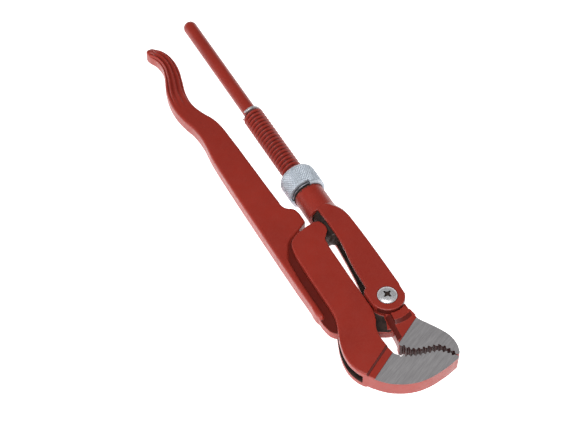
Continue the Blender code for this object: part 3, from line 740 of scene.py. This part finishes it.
def build_spindle_screw():
    """The thread with rounded crests, the groove for the stop ring, and the round handle."""
    steps, turns = 48, math.ceil((THREAD_END_Y - SHANK_END_Y) / PITCH) + 3
    land, crest = 0.8, 0.8
    flank = (PITCH - land - crest) / 2
    soft = 0.16
    heights = [0.0, land, land + soft, land + flank - soft, land + flank + soft,
               land + flank + crest - soft, land + flank + crest + soft, PITCH - soft, PITCH]
    depth = CREST_R - THREAD_ROOT_R
    radii = [0.0, 0.0, 0.1, 0.9, 1.0, 1.0, 0.9, 0.1, 0.0]
    start = THREAD_START_Y - 2 * PITCH - land / 2
    mesh = bpy.data.meshes.new("thread")
    points = [((THREAD_ROOT_R + depth * r) * MM, (start + h) * MM, 0.0) for r, h in zip(radii, heights)]
    mesh.from_pydata(points, [(i, i + 1) for i in range(len(points) - 1)], [])
    obj = add_mesh("thread", mesh)
    screw = obj.modifiers.new("Helix", "SCREW")
    screw.axis = "Y"
    screw.steps = steps
    screw.render_steps = steps
    screw.screw_offset = PITCH * MM
    screw.iterations = turns
    screw.use_merge_vertices = True
    screw.merge_threshold = WELD
    mesh = baked(obj)
    shape = bmesh.new()
    shape.from_mesh(mesh)
    for height, normal in ((SHANK_END_Y + 0.1, -1.0), (THREAD_END_Y, 1.0)):
        bmesh.ops.bisect_plane(
            shape, geom=shape.verts[:] + shape.edges[:] + shape.faces[:], dist=1e-7,
            plane_co=(0.0, height * MM, 0.0), plane_no=(0.0, normal, 0.0), clear_outer=True,
        )
        rim = [edge for edge in shape.edges if edge.is_boundary
               and all(abs(vert.co.y - height * MM) < WELD for vert in edge.verts)]
        bmesh.ops.contextual_create(shape, geom=rim)
    for vert in shape.verts:
        along = vert.co.y / MM
        radius = math.hypot(vert.co.x, vert.co.z) / MM
        top = THREAD_ROOT_R - 0.1 + min(THREAD_END_Y - along + 0.1, along - SHANK_END_Y)
        if radius > top > 0.0:
            vert.co.x *= top / radius
            vert.co.z *= top / radius
    bmesh.ops.recalc_face_normals(shape, faces=shape.faces)
    shape.to_mesh(mesh)
    shape.free()
    thread = add_mesh("thread", mesh)
    profile = rounded([
        (0.0, SHANK_END_Y - 3.0), (SHANK_R - 1.5, SHANK_END_Y - 3.0), (SHANK_R - 1.5, SHANK_END_Y + 4.0),
        (RING_GROOVE_R, SHANK_END_Y + 6.0), (RING_GROOVE_R, THREAD_END_Y + 2.2), (ROD_R, THREAD_END_Y + 2.9),
        (ROD_R, ROD_END_Y - 3.4), (ROD_R - 0.8, ROD_END_Y - 1.2), (ROD_R - 2.2, ROD_END_Y - 0.2),
        (0.0, ROD_END_Y),
    ], 0.7)
    obj = combine(thread, turned("rod", profile), "UNION")
    # The thread's roots get the darkest painted-shade red.
    obj = marked(with_paint(obj), PAINT_DARKEST_SHADE, in_thread_root)
    place(dress(obj, PAINT, 50.0), "spindle_thread_and_rod", "spindle_leg_body")


def handle_frame(points):
    """For each point: the share of the handle's half width it lies from the middle, and its distance
    from the tip along the middle. Beyond the shoulder the distance is the largest."""
    knots = np.array(HANDLE_MIDDLE)
    steps = np.linalg.norm(np.diff(knots[:, :2], axis=0), axis=1)
    at = np.concatenate([[0.0], np.cumsum(steps)])
    fine = np.linspace(0.0, at[-1], 260)
    line = np.stack([np.interp(fine, at, knots[:, k]) for k in range(3)], axis=1)
    kernel = np.ones(9) / 9
    for k in range(3):
        padded = np.pad(line[:, k], 4, mode="edge")
        line[4:-4, k] = np.convolve(padded, kernel, mode="valid")[4:-4]
    tangent = np.gradient(line[:, :2], axis=0)
    tangent /= np.linalg.norm(tangent, axis=1)[:, None]
    side, along = np.zeros(len(points)), np.zeros(len(points))
    for chunk in range(0, len(points), 4000):
        part = points[chunk:chunk + 4000, :2]
        near = ((part[:, None, :] - line[None, :, :2]) ** 2).sum(axis=2).argmin(axis=1)
        offset = part - line[near, :2]
        across = offset[:, 0] * -tangent[near, 1] + offset[:, 1] * tangent[near, 0]
        side[chunk:chunk + 4000] = across / line[near, 2]
        along[chunk:chunk + 4000] = fine[near]
    return side, along


def smoothstep(value, low, high):
    t = np.clip((value - low) / (high - low), 0.0, 1.0)
    return t * t * (3 - 2 * t)


def shape_handle(points):
    """Crowns the handle's flat sides and raises the long ridges along the hook."""
    out = points.copy()
    on_handle = points[:, 1] > CROWN_START_Y
    spots = points[on_handle]
    side, along = handle_frame(spots)
    in_hook = 1.0 - smoothstep(along, 42.0, 66.0)
    above_shoulder = smoothstep(spots[:, 1], CROWN_START_Y, CROWN_START_Y + 16.0)
    crown = 1.0 - (0.05 + 0.13 * in_hook) * np.clip(side, -1.0, 1.0) ** 2 * above_shoulder
    ridge_at = np.cos(side * math.pi * 3.6) * 0.5 + 0.5
    inside = 1.0 - smoothstep(np.abs(side), 0.72, 0.9)
    flat = smoothstep(np.abs(spots[:, 2]), 2.6, 4.2)
    fade = (1.0 - smoothstep(along, 40.0, 64.0)) * smoothstep(along, 1.0, 7.0)
    height = RIDGE_HEIGHT * (ridge_at - 0.75) * inside * flat * fade
    out[on_handle, 2] = spots[:, 2] * crown + np.sign(spots[:, 2]) * height
    return out


def upper_jaw():
    """The forged jaw, thinner inside the fork's round ends, with the raised shoulder below them."""
    jaw = slab("upper_jaw", upper_jaw_outline(), FORGED_HALF)
    inner = BOSS_R + 0.35
    for side in (1.0, -1.0):
        low, high = side * LUG_HALF, side * 9.0
        recess = turned("recess", [(0.0, low), (inner, low), (inner, high), (0.0, high)], "Z")
        jaw = combine(jaw, recess, "DIFFERENCE")
    front = [(inner, 4.0), (inner, SHOULDER_HALF), (SHOULDER_R, SHOULDER_HALF), (SHOULDER_FOOT_R, JAW_HALF)]
    profile = front + [(radius, -height) for radius, height in reversed(front)]
    ridge = turned("ridge", profile, "Z", 128)
    sector = slab("sector", arc(5.0, -60.0, -120.0, 2) + arc(30.0, -119.0, -61.5, 4), 12.0)
    return combine(jaw, combine(ridge, sector, "INTERSECT"), "UNION")


def neck_bevel(side):
    """Slopes the edge of the neck that looks at the cheeks."""
    section = [(3.1, 6.2), (3.1, 9.0), (-6.0, 9.0), (-6.0, 3.2), (-0.4, 3.2)]
    profile = [(across, side * height) for across, height in section]
    cutter = slab("bevel", profile, 9.5)
    upright = Matrix.Rotation(math.radians(90.0), 4, "X")
    lean = Matrix.Rotation(math.radians(NECK_LEAN), 4, "Z")
    cutter.data.transform(Matrix.Translation(Vector(NECK_SPOT) * MM) @ lean @ upright)
    return cutter


def build_hooked_leg():
    leg = slab("leg", HANDLE_OUTLINE, HANDLE_HALF, HANDLE_ROUND, 4)
    leg = combine(leg, slab("web", WEB_OUTLINE, WEB_HALF), "UNION")
    lug = turned("lug", [(0.0, LUG_HALF), (LUG_R, LUG_HALF), (LUG_R, -LUG_HALF), (0.0, -LUG_HALF)], "Z")
    leg = combine(leg, lug, "UNION")
    leg = combine(leg, upper_jaw(), "UNION")
    hole = turned("hole", [(0.0, 9.0), (PIVOT_HOLE_R, 9.0), (PIVOT_HOLE_R, -9.0), (0.0, -9.0)], "Z")
    leg = combine(leg, hole, "DIFFERENCE")
    for side in (1.0, -1.0):
        leg = combine(leg, neck_bevel(side), "DIFFERENCE")
    leg = with_paint(thinned(forged(leg, VOXEL, 4, shape_handle), THINNING))
    # The painted web and the shoulder slopes get shaded red as painted shade. The bare web is bare steel
    # with near-black painted shade, and the tooth walls get the darkest painted-shade red.
    leg = marked(marked(grind(leg), PAINT_SHADED, on_web), PAINT_SHADED, on_shoulder_wall)
    leg = marked(marked(leg, BARE_STEEL_AND_SHADE, on_bare_web), PAINT_DARKEST_SHADE, in_upper_teeth)
    place(dress(leg, PAINT), "hooked_leg_forging", "hooked_leg_body", ["hooked_leg"])


def build_fork():
    fork = slab("arms", arm_outline(), ARM_OUTER, ARM_ROUND)
    fork = combine(fork, turned("blend", ARM_BLEND), "INTERSECT")
    profile = [
        (SLEEVE_R, SLEEVE_LOW_Y), (SLEEVE_R, WIRE_Y - 0.9), (SLEEVE_R - 0.8, WIRE_Y - 0.9),
        (SLEEVE_R - 0.8, WIRE_Y + 0.9), (SLEEVE_R, WIRE_Y + 0.9), (SLEEVE_R, SLEEVE_TOP_Y - 0.5),
        (SLEEVE_R - 0.5, SLEEVE_TOP_Y), (BORE_R - 1.0, SLEEVE_TOP_Y), (BORE_R - 1.0, SLEEVE_LOW_Y),
    ]
    fork = combine(fork, turned("sleeve", profile), "UNION")
    bore = turned("bore", [(0.0, 8.0), (BORE_R, 8.0), (BORE_R, 110.0), (0.0, 110.0)])
    fork = combine(fork, bore, "DIFFERENCE")
    cheek_way = block("cheek_way", (-20.0, 12.0, -ARM_INNER), (0.0, WAY_TOP_Y, ARM_INNER))
    fork = combine(fork, cheek_way, "DIFFERENCE")
    lug_way = block("lug_way", (-20.0, -20.0, -BOSS_INNER), (20.0, WAY_TOP_Y, BOSS_INNER))
    fork = combine(fork, lug_way, "DIFFERENCE")
    relief = slab("relief", REAR_RELIEF, ARM_OUTER)
    relief.data.transform(Matrix.Translation((0.0, 0.0, (-ARM_OUTER - 1.0) * MM)))
    fork = combine(fork, relief, "DIFFERENCE")
    hole = turned("hole", [(0.0, 20.0), (PIVOT_HOLE_R, 20.0), (PIVOT_HOLE_R, -20.0), (0.0, -20.0)], "Z")
    fork = combine(fork, hole, "DIFFERENCE")
    fork = thinned(forged(fork, VOXEL, 3), THINNING)
    for seat, end in ((HEAD_SEAT_Z, 14.0), (-HEAD_SEAT_Z, -14.0)):
        cutter = turned("seat", [(0.0, seat), (SEAT_R, seat), (SEAT_R, end), (0.0, end)], "Z")
        fork = combine(fork, cutter, "DIFFERENCE")
    # The fork's inner ways get near-black painted shade, and the round ends' wall towards the jaws gets
    # shaded red as painted shade.
    fork = marked(marked(with_paint(fork), BARE_STEEL_AND_SHADE, in_fork_ways), PAINT_SHADED, under_boss)
    place(dress(fork, PAINT), "fork_sleeve_forging", "housing", ["fork_sleeve"])


# ---------------------------------------------------------------- turned pieces

KNURL_ROUND = 44
KNURL_LOW_Y = NUT_LOW_Y + 1.9
KNURL_TOP_Y = NUT_TOP_Y - 1.1
KNURL_ROWS = 8
KNURL_DEPTH = 0.38
KNURL_FALL = 0.55
KNURL_FALL_FROM = 0.86
WIRE_STEPS = 120
WIRE_START = -80.0
WIRE_SWEEP = 340.0
STOP_RING_R = 6.9
DOME_STEP = 6.0
CROSS_TURN = 20.0


def nut_profile():
    """The nut's wall as (radius, height) points from the mouth upwards, and the rows that carry peaks."""
    groove = WIRE_RING_R + WIRE_R + 0.3
    skirt = SLEEVE_R + 0.3
    bore = CREST_R + 0.35
    low = [
        (skirt, NUT_LOW_Y + 0.15), (skirt + 0.15, NUT_LOW_Y), (NUT_R - 0.95, NUT_LOW_Y),
        (NUT_R - 0.2, NUT_LOW_Y + 0.75), (NUT_R - 0.15, NUT_LOW_Y + 0.9),
        (NUT_R - 0.15, KNURL_LOW_Y - 0.5), (NUT_R - KNURL_DEPTH - 0.05, KNURL_LOW_Y - 0.15),
    ]
    rows = 2 * KNURL_ROWS
    band = []
    for row in range(rows + 1):
        share = row / rows
        fall = KNURL_FALL * smoothstep(share, KNURL_FALL_FROM, 1.0)
        band.append((NUT_R - KNURL_DEPTH - fall, KNURL_LOW_Y + (KNURL_TOP_Y - KNURL_LOW_Y) * share))
    top = [(NUT_R - 1.5, NUT_TOP_Y - 0.35), (NUT_R - 1.9, NUT_TOP_Y - 0.08), (NUT_R - 2.3, NUT_TOP_Y),
           (bore + 0.9, NUT_TOP_Y), (bore, NUT_TOP_Y - 0.9), (bore, SLEEVE_TOP_Y + 0.3),
           (skirt, SLEEVE_TOP_Y + 0.3), (skirt, WIRE_Y + 0.95), (groove, WIRE_Y + 0.95),
           (groove, WIRE_Y - 0.95), (skirt, WIRE_Y - 0.95)]
    peaks = range(len(low) + 1, len(low) + rows)
    return low + band + top, set(peaks)


def build_nut():
    """A turned wall whose middle is a diamond knurl: its crossings stand high and low by turns, and each
    face is split along a valley."""
    profile, peaks = nut_profile()
    columns = 2 * KNURL_ROUND
    shape = bmesh.new()
    rings = []
    for row, (radius, height) in enumerate(profile):
        ring = []
        for column in range(columns):
            lift = KNURL_DEPTH if row in peaks and (row + column) % 2 else 0.0
            angle = 2 * math.pi * column / columns
            spot = Vector((math.sin(angle) * (radius + lift), height, math.cos(angle) * (radius + lift)))
            ring.append(shape.verts.new(spot * MM))
        rings.append(ring)
    knurl_rows = peaks | {min(peaks) - 1}
    for row in range(len(rings)):
        lower, upper = rings[row], rings[(row + 1) % len(rings)]
        for column in range(columns):
            following = (column + 1) % columns
            a, b, c, d = lower[column], lower[following], upper[following], upper[column]
            if row not in knurl_rows:
                shape.faces.new((a, b, c, d))
            elif (row + column) % 2:
                shape.faces.new((a, b, d))
                shape.faces.new((b, c, d))
            else:
                shape.faces.new((a, b, c))
                shape.faces.new((a, c, d))
    bmesh.ops.recalc_face_normals(shape, faces=shape.faces)
    mesh = bpy.data.meshes.new("nut")
    shape.to_mesh(mesh)
    shape.free()
    nut = add_mesh("nut", mesh)
    slot = block("slot", (-14.0, NUT_LOW_Y - 1.0, -1.0), (1.0, WIRE_Y + 1.15, 14.0))
    nut = combine(nut, slot, "DIFFERENCE")
    nut.data.materials.clear()
    place(dress(nut, ZINC, 24.0), "adjusting_nut_knurled", "nut", ["adjusting_nut"])


def build_wire():
    data = bpy.data.curves.new("wire", "CURVE")
    data.dimensions = "3D"
    data.bevel_depth = WIRE_R * MM
    data.bevel_resolution = 4
    data.use_fill_caps = True
    spline = data.splines.new("POLY")
    spline.points.add(WIRE_STEPS)
    for step, point in enumerate(spline.points):
        angle = math.radians(WIRE_START + WIRE_SWEEP * step / WIRE_STEPS)
        point.co = (WIRE_RING_R * math.cos(angle) * MM, WIRE_Y * MM, WIRE_RING_R * math.sin(angle) * MM, 1.0)
    wire = add_mesh("wire", baked(add_mesh("wire", data)))
    place(dress(wire, SPRING), "retaining_wire_ring", "nut", ["nut_retaining_wire"])


def build_stop_ring():
    low, high = THREAD_END_Y + 0.3, THREAD_END_Y + 1.7
    inner, outer = RING_GROOVE_R + 0.3, STOP_RING_R
    profile = rounded([(inner, (low + high) / 2), (inner, low), (outer, low), (outer, high), (inner, high),
                       (inner, (low + high) / 2 + 0.01)], 0.22)
    ring = turned("ring", profile)
    gap = block("gap", (-9.0, THREAD_END_Y - 1.0, -2.5), (0.0, THREAD_END_Y + 3.0, 4.4))
    ring = combine(ring, gap, "DIFFERENCE")
    ring.data.materials.clear()
    place(dress(ring, BRIGHT), "stop_ring_split", "spindle_leg_body", ["stop_ring"])


def build_pivot_screw():
    """Low domed head with a cross recess, on a shank inside the sleeve nut."""
    seat = HEAD_SEAT_Z + 0.3
    angles = [math.radians(DOME_STEP * step) for step in range(15)]
    dome = [(HEAD_R * math.sin(angle), seat + 0.55 + 1.45 * math.cos(angle)) for angle in angles]
    dome[0] = (0.0, dome[0][1])
    rim = [(HEAD_R, seat + 0.45), (HEAD_R, seat + 0.15), (HEAD_R - 0.15, seat)]
    screw = turned("screw", dome + rim + [(2.2, seat), (2.2, -5.0), (0.0, -5.0)], "Z")
    half_wing = [(-2.9, -0.35), (-2.6, -0.55), (-0.9, -0.75), (0.9, -0.75), (2.6, -0.55), (2.9, -0.35)]
    for turn in (CROSS_TURN, CROSS_TURN + 90.0):
        wing = slab("wing", half_wing + [(-x, -y) for x, y in half_wing], 2.0)
        lift = Matrix.Translation((0.0, 0.0, (seat + 0.2 + 2.0) * MM))
        wing.data.transform(lift @ Matrix.Rotation(math.radians(turn), 4, "Z"))
        screw = combine(screw, wing, "DIFFERENCE")
    point = turned("point", [(0.0, seat), (1.55, seat + 0.9), (1.7, seat + 4.0), (0.0, seat + 4.0)], "Z", 32)
    screw = combine(screw, point, "DIFFERENCE")
    screw.data.materials.clear()
    screw.data.materials.append(BRIGHT)
    # The cross recess gets near-black painted shade.
    screw = marked(screw, BARE_STEEL_AND_SHADE, in_cross)
    place(dress(screw, BRIGHT, 30.0), "pivot_screw_domed", "housing", ["pivot_screw"])


def build_sleeve_nut():
    seat = -HEAD_SEAT_Z - 0.3
    profile = rounded([
        (0.0, -6.0), (2.5, -6.0), (2.5, HEAD_SEAT_Z - 0.3), (BARREL_R, HEAD_SEAT_Z - 0.3), (BARREL_R, seat),
        (HEAD_R, seat), (HEAD_R, seat - 0.8), (HEAD_R - 0.8, seat - 1.5), (0.0, seat - 1.5),
    ], 0.25)
    barrel = turned("barrel", profile, "Z")
    corners = [(0.0, seat - 0.3), (SOCKET_R, seat - 0.3), (SOCKET_R, seat - 3.0), (0.0, seat - 3.0)]
    socket = turned("socket", corners, "Z", 6)
    barrel = combine(barrel, socket, "DIFFERENCE")
    barrel.data.materials.clear()
    barrel = dress(barrel, BRIGHT, 30.0)
    place(barrel, "pivot_sleeve_nut_headed", "housing", ["pivot_sleeve_nut"])


# ---------------------------------------------------------------- camera, floor and light

CAMERA_LENS = 108.96
CAMERA_LOOK = (0.2924, 0.5340, -0.7934)
CAMERA_FROM_PIVOT = (-338.6, -487.1, 854.7)
FLOOR_REACH = 6.0
FLOOR_GAP = 0.0002
LIGHT_TARGET = (-0.02, 0.09)
LIGHT_TARGET_Z = 0.01
SOFTBOX_FROM_TARGET = (-0.45, -0.5, 1.3)
SOFTBOX_SIZE = (1.2, 1.2)
SOFTBOX_WATTS = 24.0


def add_camera():
    data = bpy.data.cameras.new("camera")
    data.lens = CAMERA_LENS
    data.sensor_width = 36.0
    data.clip_end = 20.0
    camera = bpy.data.objects.new("camera", data)
    bpy.context.scene.collection.objects.link(camera)
    look = Vector(CAMERA_LOOK).normalized()
    camera.location = ORIGIN + Vector(CAMERA_FROM_PIVOT) * MM
    camera.rotation_euler = look.to_track_quat("-Z", "Y").to_euler()
    bpy.context.scene.camera = camera


def add_floor():
    mesh = bpy.data.meshes.new("floor")
    corners = [(x * FLOOR_REACH, y * FLOOR_REACH, 0) for x, y in ((-1, -1), (1, -1), (1, 1), (-1, 1))]
    mesh.from_pydata(corners, [], [(0, 1, 2, 3)])
    floor = add_mesh("floor", mesh)
    floor.location.z = -FLOOR_GAP
    floor.data.materials.append(floor_white())


def add_light(name, place_m, size, power):
    data = bpy.data.lights.new(name, "AREA")
    data.shape = "RECTANGLE"
    data.size, data.size_y = size
    data.energy = power
    light = bpy.data.objects.new(name, data)
    bpy.context.scene.collection.objects.link(light)
    target = Vector((ORIGIN.x + LIGHT_TARGET[0], ORIGIN.y + LIGHT_TARGET[1], LIGHT_TARGET_Z))
    light.location = target + Vector(place_m)
    light.rotation_euler = (target - light.location).to_track_quat("-Z", "Y").to_euler()


# The surroundings are bright at the horizon and dark above: sine of the height there, then strength.
HORIZON_GLOW = (0.0, 0.42, 1.3, 0.03)


def add_lights():
    world = bpy.data.worlds.new("studio")
    bpy.context.scene.world = world
    world.use_nodes = True
    tree = world.node_tree
    background = tree.nodes["Background"]
    background.inputs["Color"].default_value = (1.0, 1.0, 1.0, 1.0)
    parts = tree.nodes.new("ShaderNodeSeparateXYZ")
    tree.links.new(tree.nodes.new("ShaderNodeTexCoord").outputs["Generated"], parts.inputs["Vector"])
    glow = tree.nodes.new("ShaderNodeMapRange")
    for socket, number in zip(RANGE_SOCKETS, HORIZON_GLOW):
        glow.inputs[socket].default_value = number
    tree.links.new(parts.outputs["Z"], glow.inputs["Value"])
    tree.links.new(glow.outputs["Result"], background.inputs["Strength"])
    add_light("softbox", SOFTBOX_FROM_TARGET, SOFTBOX_SIZE, SOFTBOX_WATTS)


build_spindle_leg()
build_spindle_screw()
build_hooked_leg()
build_fork()
build_nut()
build_wire()
build_stop_ring()
build_pivot_screw()
build_sleeve_nut()
add_camera()
add_floor()
add_lights()
bpy.context.scene.view_settings.view_transform = "Standard"
